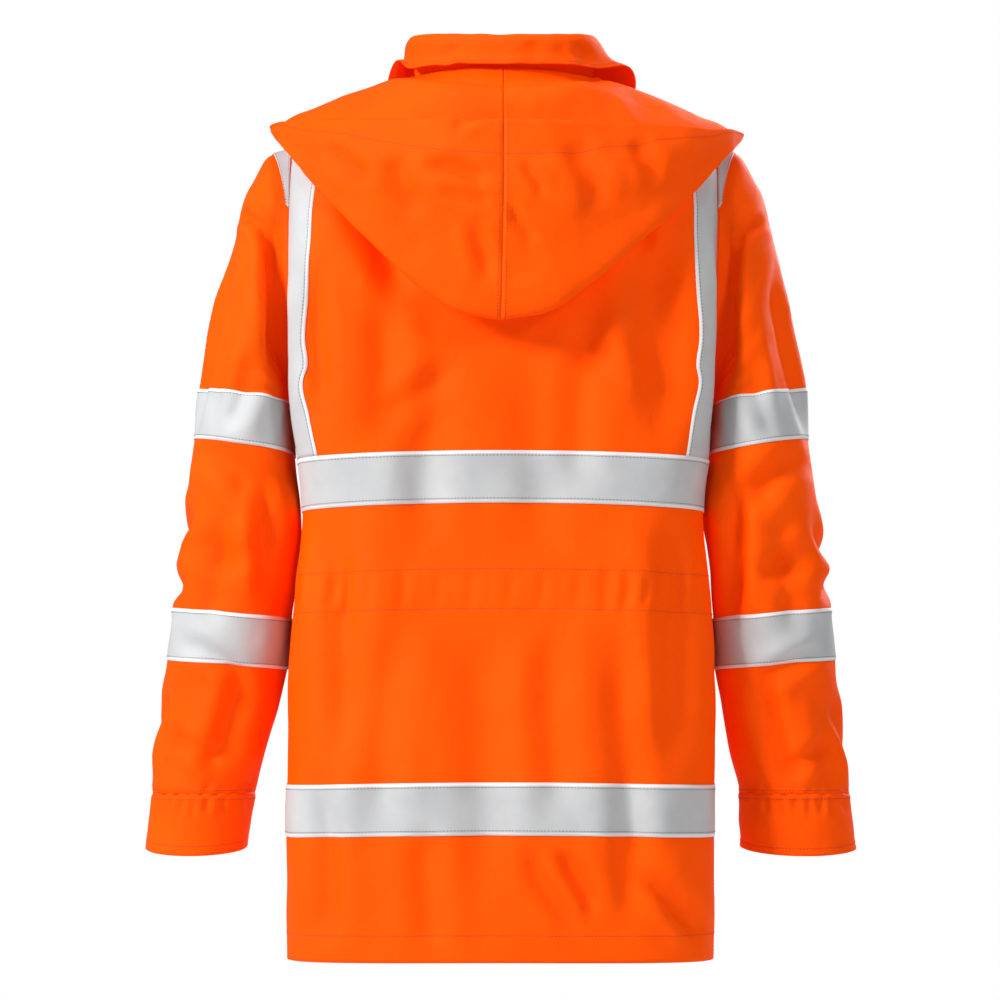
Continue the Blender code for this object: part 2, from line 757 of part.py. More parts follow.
def brace_cloth(back, front, mirror):
    """A tape over the shoulder: up the back beside the armhole and down the front."""
    first = band_rows(CHEST_BAND_Z)[1]
    rows = range(first, len(front.points))
    columns = [OUTER_COLUMNS + i for i in range(BRACE_COLUMNS + 1)]
    behind = back.cut(rows, from_side(back, columns, mirror < 0))
    before = front.cut(rows, from_side(front, columns, mirror > 0))
    points, normals = behind.points[:-1], behind.normals[:-1]
    down = [list(reversed(row)) for row in reversed(before.points)]
    down_normals = [list(reversed(row)) for row in reversed(before.normals)]
    points.append([(a + b) * 0.5 for a, b in zip(behind.points[-1], down[0])])
    normals.append([(a + b).normalized() for a, b in zip(behind.normals[-1], down_normals[0])])
    points, normals = points + down[1:], normals + down_normals[1:]
    for end, following in ((0, 1), (-1, -2)):
        points[end] = [p + (q - p).normalized() * SEAM for p, q in zip(points[end], points[following])]
    return Cloth(points, normals=normals)


def build():
    for item in list(bpy.data.objects):
        bpy.data.objects.remove(item, do_unlink=True)

    back_rows, front_rows = half_torso(-1), half_torso(1)
    back = back_cloth(back_rows)
    fronts = {"left": front_cloth(front_rows, -1), "right": front_cloth(front_rows, 1)}
    flap = flap_cloth(front_rows)
    body = skin([back, fronts["left"], fronts["right"]], SEAM + TAPE)

    add_panel("back_panel", back)
    for side, cloth in fronts.items():
        add_panel("front_" + side, cloth)
    wall("storm_flap", flap, FLAP_GAP, FLAP_GAP + CLOTH, orange("storm_flap"))

    bands = {"chest_band": band_rows(CHEST_BAND_Z), "hem_band": band_rows(HEM_BAND_Z)}
    to_flap = range(len(front_rows[0]) - 1)
    for name, rows in bands.items():
        add_tape(name + "_back", back.cut(rows, range(len(back.points[0]))))
        for side, cloth in fronts.items():
            columns = from_side(cloth, to_flap, side == "right")
            add_tape(name + "_front_" + side, cloth.cut(rows, columns))
        add_tape(name + "_flap", flap.cut(rows, range(3)), FLAP_GAP + CLOTH + SEAM)

    first_armhole_row = len(LOWER_ROWS)
    heads = []
    for side, mirror in (("left", -1), ("right", 1)):
        back_edge = [row[from_side(back, (0,), mirror < 0)[0]]
                     for row in back.points[first_armhole_row:]]
        front_edge = [row[from_side(fronts[side], (0,), mirror > 0)[0]]
                      for row in fronts[side].points[first_armhole_row:]]
        first = armhole_ring(back_edge, front_edge, mirror)
        sleeve = sleeve_cloth(first, mirror, body)
        heads.append(sleeve)
        around = range(2 * ARMHOLE_STEPS)
        add_panel("sleeve_" + side, sleeve)
        add_panel("cuff_" + side, cuff_cloth(mirror))
        add_tape("brace_" + side, brace_cloth(back, fronts[side], mirror))
        add_tape("shoulder_tape_" + side, head_tape_cloth(sleeve), HEAD_TAPE_LIFT)
        for place, start in (("upper", UPPER_BAND_RING), ("lower", LOWER_BAND_RING)):
            add_tape("sleeve_band_" + place + "_" + side, sleeve.cut((start, start + 1), around))

    upper = [head.cut(range(UPPER_BAND_RING + 2), range(2 * ARMHOLE_STEPS)) for head in heads]
    wearing = skin([back, fronts["left"], fronts["right"]] + upper, HEAD_TAPE_LIFT + TAPE)
    hoods = [hood_cloth(-1, wearing), hood_cloth(1, wearing)]
    add_panel("hood_left", hoods[0])
    add_panel("hood_right", hoods[1])
    below = skin(hoods + list(fronts.values()), 0.0)
    add_panel("collar", collar_cloth(back, fronts, below))


build()
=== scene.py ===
"""Looks of the orange high-visibility parka: cloth, tapes, stitching, light and camera.

Every piece is read from its CAD wall as a grid of rows and columns, smoothed, given its folds,
and built again as a thin shell. +Z is up, the back faces -Y and +X is the wearer's right.
"""

import logging
import math
from dataclasses import dataclass, field
from enum import Enum

import bmesh
import bpy
import numpy as np
from mathutils import Matrix, Vector, noise


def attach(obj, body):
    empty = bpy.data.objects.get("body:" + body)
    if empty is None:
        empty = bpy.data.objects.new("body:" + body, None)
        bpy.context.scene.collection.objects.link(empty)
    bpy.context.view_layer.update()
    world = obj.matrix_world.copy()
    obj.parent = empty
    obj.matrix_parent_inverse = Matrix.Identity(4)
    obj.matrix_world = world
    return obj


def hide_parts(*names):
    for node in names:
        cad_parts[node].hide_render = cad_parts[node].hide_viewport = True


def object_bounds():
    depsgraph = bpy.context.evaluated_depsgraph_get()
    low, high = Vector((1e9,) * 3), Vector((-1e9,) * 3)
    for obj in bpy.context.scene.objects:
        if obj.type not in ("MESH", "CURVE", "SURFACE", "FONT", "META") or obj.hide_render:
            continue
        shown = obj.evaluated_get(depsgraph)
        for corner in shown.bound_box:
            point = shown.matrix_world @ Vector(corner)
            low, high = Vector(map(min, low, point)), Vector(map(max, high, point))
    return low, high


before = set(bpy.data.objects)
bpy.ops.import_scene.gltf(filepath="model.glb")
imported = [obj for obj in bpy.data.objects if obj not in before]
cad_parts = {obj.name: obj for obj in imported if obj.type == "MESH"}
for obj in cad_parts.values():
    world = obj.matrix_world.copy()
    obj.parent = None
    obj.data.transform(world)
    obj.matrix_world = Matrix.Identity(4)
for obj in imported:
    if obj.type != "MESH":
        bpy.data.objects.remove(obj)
CAD_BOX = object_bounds()

LOG = logging.getLogger("parka")
MM = 0.001
WELD = 2e-6
TAPE_WIDTH = 50.0 * MM
LIP_REACH = 34.0 * MM
TUCK = 3.0 * MM
FOLD_DEPTH = 2.6           # how deep all the folds are made, against their listed depths
FOLD_TAPER = 0.3           # share of a fold's length over which each end fades
FLANK_HEIGHT = 0.4         # a fold's raised flanks, against its depth
FLANK_PLACE = 1.9          # where they stand, in widths from the fold's line
TURN_AWAY = 0.45           # a fold fades where the cloth faces its side by less than this
CLOTH_WALL = 1.5 * MM      # wall of every cloth node in the frame
RIM_TOLERANCE = 0.006 * MM
PATCH_REACH = 10.0 * MM    # a point this near to a guess is the one looked for
LINKED_REACH = 16.0 * MM   # the same for a point that edges join to its neighbours
TAPE_REACH = 0.7 * MM      # a tape's underside is nearer than this to the cloth's own points


class Facing(Enum):
    """The side a fold is seen from: its outward direction and its two drawing axes."""

    BACK = ((0, -1, 0), 0, 2)
    FRONT = ((0, 1, 0), 0, 2)
    LEFT = ((-1, 0, 0), 1, 2)
    RIGHT = ((1, 0, 0), 1, 2)
    TOP = ((0, 0, 1), 0, 1)


class Edge(Enum):
    """The four edges of a piece of cloth."""

    FIRST_ROW = 0
    LAST_ROW = 1
    FIRST_COLUMN = 2
    LAST_COLUMN = 3


def smooth(value: np.ndarray) -> np.ndarray:
    """An eased step from 0 to 1."""
    value = np.clip(value, 0.0, 1.0)
    return value * value * (3.0 - 2.0 * value)


# ---- folds -----------------------------------------------------------------------------------
@dataclass(frozen=True)
class Fold:
    """A soft trough with raised flanks, drawn in millimetres as seen from one side."""

    facing: Facing
    start: tuple[float, float]
    end: tuple[float, float]
    width: float
    depth: float
    bend: float = 0.0
    skew: float = 1.0

    def height(self, points: np.ndarray, normals: np.ndarray) -> np.ndarray:
        """How far the fold moves each point of a piece along its normal.

        Args:
            points: the places, in metres.
            normals: the outward directions there.

        Returns:
            The moves, in metres, below zero in the trough.
        """
        direction, across, up = self.facing.value
        flat = np.stack([points[..., across], points[..., up]], axis=-1) / MM
        start, end = np.array(self.start), np.array(self.end)
        line = end - start
        length = float(np.linalg.norm(line))
        share = (flat - start) @ line / length ** 2
        side = (flat - start) @ np.array([-line[1], line[0]]) / length
        side = side - self.bend * 4.0 * np.clip(share * (1.0 - share), 0.0, None)
        reach = side / self.width
        reach = np.where(reach > 0.0, reach / self.skew, reach)
        taper = smooth(share / FOLD_TAPER) * smooth((1.0 - share) / FOLD_TAPER)
        shape = -np.exp(-reach ** 2)
        shape = shape + FLANK_HEIGHT * np.exp(-(np.abs(reach) - FLANK_PLACE) ** 2)
        seen = smooth((normals @ np.array(direction, float)) / TURN_AWAY)
        return FOLD_DEPTH * self.depth * MM * shape * taper * seen


def mirrored(folds: tuple[Fold, ...], shift: float, ease: float) -> tuple[Fold, ...]:
    """Folds like the given ones for the other side: mirrored, moved down a little and softer."""
    other = {Facing.LEFT: Facing.RIGHT, Facing.RIGHT: Facing.LEFT}
    found = []
    for fold in folds:
        turn = -1.0 if fold.facing in (Facing.BACK, Facing.FRONT, Facing.TOP) else 1.0
        start = (turn * fold.start[0], fold.start[1] - shift)
        end = (turn * fold.end[0], fold.end[1] - shift)
        facing = other.get(fold.facing, fold.facing)
        found.append(Fold(facing, start, end, fold.width, fold.depth * ease, -fold.bend))
    return tuple(found)


def turned(folds: tuple[Fold, ...], ease: float) -> tuple[Fold, ...]:
    """The same folds on the hidden front, softer."""
    return tuple(
        Fold(Facing.FRONT, fold.start, fold.end, fold.width * 1.1, fold.depth * ease, fold.bend)
        for fold in folds if fold.facing is Facing.BACK
    )


# ---- grids of cloth --------------------------------------------------------------------------
class WallReader:
    """Reads the rows and columns of a CAD wall's larger face from its triangles."""

    def __init__(self, node: str) -> None:
        """Loads a node.

        Args:
            node: the CAD node's name.
        """
        self.bm = bmesh.new()
        self.bm.from_mesh(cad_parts[node].data)
        bmesh.ops.remove_doubles(self.bm, verts=self.bm.verts, dist=WELD)
        rims = {
            face
            for edge in self.bm.edges
            if abs(edge.calc_length() - CLOTH_WALL) < RIM_TOLERANCE
            for face in edge.link_faces
        }
        bmesh.ops.delete(self.bm, geom=list(rims), context="FACES")
        self._keep_larger_face()
        self.bm.normal_update()
        self.seen: set[bmesh.types.BMFace] = set()

    def _keep_larger_face(self) -> None:
        """Leaves only the face of the wall that has more area."""
        left, islands = set(self.bm.faces), []
        while left:
            island, heap = set(), [next(iter(left))]
            while heap:
                face = heap.pop()
                if face in left:
                    left.discard(face)
                    island.add(face)
                    heap += [other for edge in face.edges for other in edge.link_faces]
            islands.append(island)
        islands.sort(key=lambda faces: sum(face.calc_area() for face in faces))
        for island in islands[:-1]:
            bmesh.ops.delete(self.bm, geom=list(island), context="FACES")

    def _apex(self, a: bmesh.types.BMVert, b: bmesh.types.BMVert) -> bmesh.types.BMVert | None:
        """The third corner of the triangle not yet used on the edge between two points."""
        edge = self.bm.edges.get((a, b))
        for face in edge.link_faces if edge else ():
            if face not in self.seen:
                self.seen.add(face)
                return next(v for v in face.verts if v not in (a, b))
        return None

    def _border_from(self, start: bmesh.types.BMVert, whole: bool = False) -> list[bmesh.types.BMVert]:
        """The border's points in order from a start, to the next corner or all round."""
        run, last = [start], None
        while True:
            edges = [e for e in run[-1].link_edges if e.is_boundary and e is not last]
            last = edges[0]
            vert = last.other_vert(run[-1])
            if vert is start:
                return run
            run.append(vert)
            if len(vert.link_faces) <= 2 and not whole:
                return run

    def _open_rows(self, first_row: Vector) -> list[list[bmesh.types.BMVert]]:
        """Rows of an open piece, from a corner that lies on one triangle."""
        corners = [v for v in self.bm.verts if len(v.link_faces) == 1]
        corner = min(corners, key=lambda v: (v.co - first_row).length)
        rows = [self._border_from(corner)]
        if len(self.bm.verts) % len(rows[0]):
            return self._patched_rows(corner)
        while True:
            row = rows[-1]
            first = self._apex(row[0], row[1])
            if first is None:
                return rows
            following = [first]
            for i in range(1, len(row)):
                following.append(self._apex(row[i], following[-1]))
                if i + 1 < len(row):
                    self._apex(row[i], row[i + 1])
            rows.append(following)

    def _found(self, inside: set, below: bmesh.types.BMVert, before: bmesh.types.BMVert,
               guess: Vector) -> bmesh.types.BMVert:
        """The unused point joined to two neighbours, or a new one at the guess."""
        near = (below, before)
        linked = [v for v in inside if all(self.bm.edges.get((v, n)) is not None for n in near)]
        for pool, reach in ((linked, LINKED_REACH), (inside, PATCH_REACH)):
            close = [v for v in pool if (v.co - guess).length < reach]
            if close:
                vert = min(close, key=lambda v: (v.co - guess).length)
                break
        else:
            vert = self.bm.verts.new(guess)
        inside.discard(vert)
        return vert

    def _patched_rows(self, corner: bmesh.types.BMVert) -> list[list[bmesh.types.BMVert]]:
        """Rows of a piece whose flattest part lacks a few points, which are put back."""
        ring = self._border_from(corner, whole=True)
        turns = [i for i, v in enumerate(ring) if len(v.link_faces) <= 2] + [len(ring)]
        ring.append(ring[0])
        sides = [ring[a:b + 1] for a, b in zip(turns, turns[1:])]
        rows = [sides[0]]
        inside = {v for v in self.bm.verts if v.link_faces and not v.is_boundary}
        last_column, first_column = sides[1], sides[3][::-1]
        half = len(rows[0]) // 2
        for r in range(1, len(first_column) - 1):
            left, right = [first_column[r]], [last_column[r]]
            below = rows[-1]
            for c in range(1, len(below) - 1):
                run, under = (left, below) if c <= half else (right, below[::-1])
                step = len(run)
                guess = run[-1].co + under[step].co - under[step - 1].co
                run.append(self._found(inside, under[step], run[-1], guess))
            rows.append(left + right[::-1])
        return rows + [sides[2][::-1]]

    def _closed_rows(self, first_row: Vector, first_column: Vector) -> list[list[bmesh.types.BMVert]]:
        """Rings of a tube, from the end nearest to first_row."""
        border = [v for v in self.bm.verts if v.is_boundary]
        row = self._border_from(min(border, key=lambda v: (v.co - first_row).length))
        edge = self.bm.edges.get((row[0], row[1]))
        apex = next(v for v in edge.link_faces[0].verts if v not in (row[0], row[1]))
        across = self.bm.edges.get((row[0], apex))
        others = {v for face in across.link_faces for v in face.verts} - {row[0], row[1], apex}
        if not others & set(row):
            row.reverse()
        start = min(range(len(row)), key=lambda i: (row[i].co - first_column).length)
        rows = [row[start:] + row[:start]]
        while True:
            row = rows[-1]
            following = [self._apex(a, b) for a, b in zip(row, row[1:] + row[:1])]
            if following[0] is None:
                return rows
            for i, vert in enumerate(row):
                self._apex(vert, following[i - 1])
            rows.append(following)

    def read(self, rows: int, first_row: Vector, first_column: Vector | None) -> np.ndarray:
        """The grid of points, with its columns set so that its outward side faces out.

        Args:
            rows: how many rows the piece has.
            first_row: a place nearer to the first row than to the last one.
            first_column: for a tube, a place near its first column.

        Returns:
            An array of rows by columns by 3.
        """
        closed = first_column is not None
        found = self._closed_rows(first_row, first_column) if closed else self._open_rows(first_row)
        points = np.array([[v.co[:] for v in row] for row in found])
        normals = np.array([[v.normal[:] for v in row] for row in found])
        if points.shape[0] != rows:
            points, normals = points.transpose(1, 0, 2), normals.transpose(1, 0, 2)
        away = np.linalg.norm(points - np.array(first_row), axis=2).mean(axis=1)
        if away[0] > away[-1]:
            points, normals = points[::-1], normals[::-1]
        if closed:
            points = np.concatenate([points, points[:, :1]], axis=1)
            normals = np.concatenate([normals, normals[:, :1]], axis=1)
        if (facing_of(points) * normals).sum() < 0.0:
            points = points[:, ::-1]
        self.bm.free()
        return points


def facing_of(points: np.ndarray, closed: bool = False) -> np.ndarray:
    """Outward unit directions of a grid.

    Args:
        points: rows by columns by 3.
        closed: whether the last column is the first one again.

    Returns:
        The directions, in the same shape.
    """
    if closed:
        wide = np.concatenate([points[:, -2:-1], points, points[:, 1:2]], axis=1)
        along = (wide[:, 2:] - wide[:, :-2])
    else:
        along = np.gradient(points, axis=1)
    up = np.gradient(points, axis=0)
    normals = np.cross(along, up)
    return normals / np.maximum(np.linalg.norm(normals, axis=2, keepdims=True), 1e-12)


def finer(points: np.ndarray, counts: list[int], wrap: bool = False) -> np.ndarray:
    """Smooth points between the rows of a grid, on curves through them.

    Args:
        points: rows by columns by 3; the new points go between its rows.
        counts: how many steps each gap between rows gets.
        wrap: whether the last row is the first one again.

    Returns:
        The finer grid.
    """
    steps = np.diff(points, axis=0)
    gaps = np.maximum(np.linalg.norm(steps, axis=2, keepdims=True), 1e-9)
    slopes = steps / gaps
    inner = (slopes[:-1] * gaps[1:] + slopes[1:] * gaps[:-1]) / (gaps[:-1] + gaps[1:])
    first, last = slopes[:1], slopes[-1:]
    if wrap:
        first = (slopes[-1:] * gaps[:1] + slopes[:1] * gaps[-1:]) / (gaps[:1] + gaps[-1:])
        last = first
    tangents = np.concatenate([first, inner, last])
    out = [points[:1]]
    for i, count in enumerate(counts):
        t = (np.arange(1, count + 1) / count)[:, None, None]
        out.append(
            points[i] * (2 * t ** 3 - 3 * t ** 2 + 1)
            + tangents[i] * gaps[i] * (t ** 3 - 2 * t ** 2 + t)
            + points[i + 1] * (3 * t ** 2 - 2 * t ** 3)
            + tangents[i + 1] * gaps[i] * (t ** 3 - t ** 2)
        )
    return np.concatenate(out)


@dataclass
class Ripple:
    """Low swells of the cloth between its folds."""

    size: float
    height: float
    seed: float

    def heights(self, points: np.ndarray) -> np.ndarray:
        """Moves along the normals, in metres, for an array of places."""
        flat = points.reshape(-1, 3) / (self.size * MM) + self.seed
        values = [noise.noise(Vector(place)) for place in flat]
        return np.array(values).reshape(points.shape[:-1]) * self.height * MM


@dataclass
class Cloth:
    """A smooth, folded grid made from a CAD wall."""

    node: str
    rows: int
    first_row: tuple[float, float, float]
    first_column: tuple[float, float, float] | None = None
    step: float = 3.5
    folds: tuple[Fold, ...] = ()
    ripples: tuple[Ripple, ...] = ()
    free: tuple[Edge, ...] = ()
    hold: float = 14.0
    lip: float = 0.0
    tuck: bool = False
    points: np.ndarray = field(init=False)
    normals: np.ndarray = field(init=False)

    def __post_init__(self) -> None:
        """Reads, smooths and folds the grid."""
        column = Vector(self.first_column) * MM if self.first_column else None
        self.closed = column is not None
        self.coarse = WallReader(self.node).read(self.rows, Vector(self.first_row) * MM, column)
        step = self.step * 1.0 * MM
        row_counts = self._counts(self.coarse, step)
        column_counts = self._counts(self.coarse.transpose(1, 0, 2), step)
        self.row_at = np.concatenate([[0], np.cumsum(row_counts)])
        self.column_at = np.concatenate([[0], np.cumsum(column_counts)])
        fine = finer(self.coarse, row_counts)
        fine = finer(fine.transpose(1, 0, 2), column_counts, self.closed).transpose(1, 0, 2)
        self.normals = facing_of(fine, self.closed)
        move = sum((ripple.heights(fine) for ripple in self.ripples), np.zeros(fine.shape[:2]))
        for fold in self.folds:
            move = move + fold.height(fine, self.normals)
        move = move * self._held(fine) + self._lip(fine)
        self.points = fine + self.normals * move[..., None]
        self.normals = facing_of(self.points, self.closed)
        if self.tuck:
            self._tuck_in()

    def _lip(self, fine: np.ndarray) -> np.ndarray:
        """Stands the last row off what lies under it."""
        back = np.linalg.norm(np.diff(fine, axis=0), axis=2)[::-1].cumsum(axis=0)[::-1]
        back = np.concatenate([back, np.zeros((1, fine.shape[1]))])
        return self.lip * MM * smooth(1.0 - back / LIP_REACH)

    def _tuck_in(self) -> None:
        """Adds a row that goes under the neighbour's edge, so that the seam is shut."""
        out = self.points[0] - self.points[1]
        out /= np.linalg.norm(out, axis=1, keepdims=True)
        row = self.points[0] + (TUCK * out - 0.5 * TUCK * self.normals[0])
        self.points = np.concatenate([row[None], self.points])
        self.normals = np.concatenate([self.normals[:1], self.normals])

    @staticmethod
    def _counts(points: np.ndarray, step: float) -> list[int]:
        """Steps for each gap between rows, about one for each step length."""
        gaps = np.linalg.norm(np.diff(points, axis=0), axis=2)
        widest = np.percentile(gaps, 75, axis=1)
        return [max(1, int(round(gap / step))) for gap in widest]

    def _held(self, fine: np.ndarray) -> np.ndarray:
        """0 at a sewn edge, rising to 1 away from it, so that neighbours still meet there."""
        share = np.ones(fine.shape[:2])
        down = np.linalg.norm(np.diff(fine, axis=0), axis=2).cumsum(axis=0)
        down = np.concatenate([np.zeros((1, fine.shape[1])), down])
        side = np.linalg.norm(np.diff(fine, axis=1), axis=2).cumsum(axis=1)
        side = np.concatenate([np.zeros((fine.shape[0], 1)), side], axis=1)
        reach = {
            Edge.FIRST_ROW: down,
            Edge.LAST_ROW: down[-1:] - down,
            Edge.FIRST_COLUMN: side,
            Edge.LAST_COLUMN: side[:, -1:] - side,
        }
        for edge, distance in reach.items():
            if self.closed and edge in (Edge.FIRST_COLUMN, Edge.LAST_COLUMN):
                continue
            if edge not in self.free:
                share = share * smooth(distance / (self.hold * MM))
        return share

    def under(self, node: str) -> tuple[slice, slice]:
        """The fine rows and columns that a tape's CAD node lies on."""
        tape = np.array([v.co[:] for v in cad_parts[node].data.vertices])
        tape = np.unique(np.round(tape, 6), axis=0)
        near = np.zeros(self.coarse.shape[:2], bool)
        for index in np.ndindex(near.shape):
            near[index] = np.linalg.norm(tape - self.coarse[index], axis=1).min() < TAPE_REACH
        rows, columns = np.where(near.any(axis=1))[0], np.where(near.any(axis=0))[0]
        return (slice(self.row_at[rows[0]], self.row_at[rows[-1]] + 1),
                slice(self.column_at[columns[0]], self.column_at[columns[-1]] + 1))

    def row_near(self, height: float) -> int:
        """The fine row whose middle is nearest to a height in millimetres."""
        middle = self.points[:, self.points.shape[1] // 2, 2]
        return int(np.abs(middle - height * MM).argmin())


# ---- meshes ----------------------------------------------------------------------------------
def shell(name: str, points: np.ndarray, closed: bool, wall: float,
          material: bpy.types.Material, even: int | None = None) -> bpy.types.Object:
    """A thin shell of cloth through a grid of points, its wall on the inner side.

    Args:
        name: the new piece's name.
        points: rows by columns by 3; a tube's last column is its first one again.
        closed: whether the piece is a tube.
        wall: its thickness in millimetres.
        material: its finish.
        even: for a tape, the axis of its UVs that runs across it, made even all along.

    Returns:
        The new object, at the origin.
    """
    rows, columns = points.shape[:2]
    bm = bmesh.new()
    bmesh.ops.create_grid(bm, x_segments=columns - 1, y_segments=rows - 1, size=1.0)
    mesh = bpy.data.meshes.new(name)
    bm.to_mesh(mesh)
    bm.free()
    start = np.zeros(len(mesh.vertices) * 3)
    mesh.vertices.foreach_get("co", start)
    start = start.reshape(-1, 3)
    column = np.rint((start[:, 0] + 1.0) * 0.5 * (columns - 1)).astype(int)
    row = np.rint((start[:, 1] + 1.0) * 0.5 * (rows - 1)).astype(int)
    mesh.vertices.foreach_set("co", points[row, column].ravel())
    along = np.linalg.norm(np.diff(points, axis=1), axis=2).cumsum(axis=1)
    along = np.concatenate([np.zeros((rows, 1)), along], axis=1)
    up = np.linalg.norm(np.diff(points, axis=0), axis=2).cumsum(axis=0)
    up = np.concatenate([np.zeros((1, columns)), up])
    if even == 0:
        along = along / along[:, -1:] * TAPE_WIDTH
    if even == 1:
        up = up / up[-1:] * TAPE_WIDTH
    corners = np.zeros(len(mesh.loops), int)
    mesh.loops.foreach_get("vertex_index", corners)
    flat = np.stack([along[row, column][corners], up[row, column][corners]], axis=1)
    mesh.uv_layers.new(name="cut").data.foreach_set("uv", flat.ravel())
    bm = bmesh.new()
    bm.from_mesh(mesh)
    if closed:
        bmesh.ops.remove_doubles(bm, verts=bm.verts, dist=WELD)
    for face in bm.faces:
        face.smooth = True
    bm.to_mesh(mesh)
    bm.free()
    mesh.materials.append(material)
    piece = bpy.data.objects.new(name, mesh)
    bpy.context.scene.collection.objects.link(piece)
    solid = piece.modifiers.new("wall", "SOLIDIFY")
    solid.thickness = wall * MM
    solid.offset = -1.0
    return piece


@dataclass(frozen=True)
class Thread:
    """A line of stitches: their length, spacing and thickness in millimetres."""

    length: float = 2.5
    spacing: float = 3.4
    thickness: float = 0.42

    def sew(self, bm: bmesh.types.BMesh, points: np.ndarray, normals: np.ndarray) -> None:
        """Lays stitches along a line.

        Args:
            bm: where the stitches go.
            points: the line's places, in metres.
            normals: the cloth's outward directions there.
        """
        lengths = np.concatenate([[0.0], np.linalg.norm(np.diff(points, axis=0), axis=1).cumsum()])
        count = int(lengths[-1] / (self.spacing * MM))
        line = bmesh.new()
        for i in range(count):
            place = (i + 0.5) * self.spacing * MM
            middle, ahead = (
                Vector([np.interp(at, lengths, points[:, k]) for k in range(3)])
                for at in (place, place + 0.5 * MM)
            )
            out = Vector([np.interp(place, lengths, normals[:, k]) for k in range(3)])
            forward = (ahead - middle).normalized()
            side = out.cross(forward).normalized()
            out = forward.cross(side)
            turn = Matrix((forward, side, out)).transposed().to_4x4()
            size = Matrix.Diagonal((self.length * 0.5, self.thickness, self.thickness * 0.8, 1.0))
            place_at = Matrix.Translation(middle + out * 0.1 * MM)
            scale = Matrix.Scale(MM, 4)
            bmesh.ops.create_icosphere(line, subdivisions=1, radius=1.0,
                                       matrix=place_at @ turn @ scale @ size)
        mesh = bpy.data.meshes.new("stitches")
        line.to_mesh(mesh)
        line.free()
        bm.from_mesh(mesh)
        bpy.data.meshes.remove(mesh)


class Sewing:
    """Gathers lines of stitches and makes one piece of them."""

    def __init__(self, name: str, material: bpy.types.Material, thread: Thread = Thread()) -> None:
        """Starts with no stitches."""
        self.name = name
        self.material = material
        self.thread = thread
        self.bm = bmesh.new()

    def line(self, points: np.ndarray, normals: np.ndarray, lift: float = 0.0) -> None:
        """Adds a line of stitches, lifted off the points by some millimetres."""
        self.thread.sew(self.bm, points + normals * lift * MM, normals)

    def finish(self) -> bpy.types.Object:
        """The joined piece of all the lines."""
        for face in self.bm.faces:
            face.smooth = True
        mesh = bpy.data.meshes.new(self.name)
        self.bm.to_mesh(mesh)
        self.bm.free()
        mesh.materials.append(self.material)
        piece = bpy.data.objects.new(self.name, mesh)
        bpy.context.scene.collection.objects.link(piece)
        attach(piece, "root")
        return piece


# ---- finishes --------------------------------------------------------------------------------
class Nodes:
    """A material's nodes, with short ways to add and join them."""

    def __init__(self, name: str) -> None:
        """Makes a material with a Principled shader."""
        self.material = bpy.data.materials.new(name)
        self.material.use_nodes = True
        self.tree = self.material.node_tree
        self.shader = self.tree.nodes["Principled BSDF"]

    def add(self, kind: str, **settings: object) -> bpy.types.Node:
        """A new node with the given settings."""
        node = self.tree.nodes.new(kind)
        for key, value in settings.items():
            setattr(node, key, value)
        return node

    def join(self, output: bpy.types.NodeSocket, socket: bpy.types.NodeSocket) -> None:
        """Links an output to an input."""
        self.tree.links.new(output, socket)

    def math(self, operation: str, a: object, b: object = 0.0) -> bpy.types.NodeSocket:
        """The result of a sum on two sockets or numbers."""
        node = self.add("ShaderNodeMath", operation=operation)
        for socket, value in zip(node.inputs, (a, b)):
            if isinstance(value, (int, float)):
                socket.default_value = value
            else:
                self.join(value, socket)
        return node.outputs[0]

    def noise(self, place: bpy.types.NodeSocket, scale: float,
              detail: float = 2.0) -> bpy.types.NodeSocket:
        """A noise value at a scale per metre."""
        node = self.add("ShaderNodeTexNoise")
        node.inputs["Scale"].default_value = scale
        node.inputs["Detail"].default_value = detail
        self.join(place, node.inputs["Vector"])
        return node.outputs["Fac"]

    def ramp(self, value: bpy.types.NodeSocket,
             stops: tuple[tuple[float, tuple], ...]) -> bpy.types.NodeSocket:
        """A colour for a value between stops."""
        node = self.add("ShaderNodeValToRGB")
        elements = node.color_ramp.elements
        while len(elements) < len(stops):
            elements.new(0.5)
        for element, (position, colour) in zip(elements, stops):
            element.position = position
            element.color = colour
        self.join(value, node.inputs["Fac"])
        return node.outputs["Color"]

    def bump(self, height: bpy.types.NodeSocket, depth: float,
             before: object = None) -> bpy.types.NodeSocket:
        """A bump of some millimetres on top of an earlier one."""
        node = self.add("ShaderNodeBump")
        node.inputs["Strength"].default_value = 1.0
        node.inputs["Distance"].default_value = depth * MM
        self.join(height, node.inputs["Height"])
        if before is not None:
            self.join(before, node.inputs["Normal"])
        return node.outputs["Normal"]

    def weave(self, place: bpy.types.NodeSocket, pitch: float) -> bpy.types.NodeSocket:
        """The over and under of a plain weave with a pitch in millimetres."""
        parts = self.add("ShaderNodeSeparateXYZ")
        self.join(place, parts.inputs[0])
        turn = 2.0 * math.pi / (pitch * MM)
        along = self.math("SINE", self.math("MULTIPLY", parts.outputs[0], turn))
        across = self.math("SINE", self.math("MULTIPLY", parts.outputs[1], turn))
        return self.math("MULTIPLY", along, across)


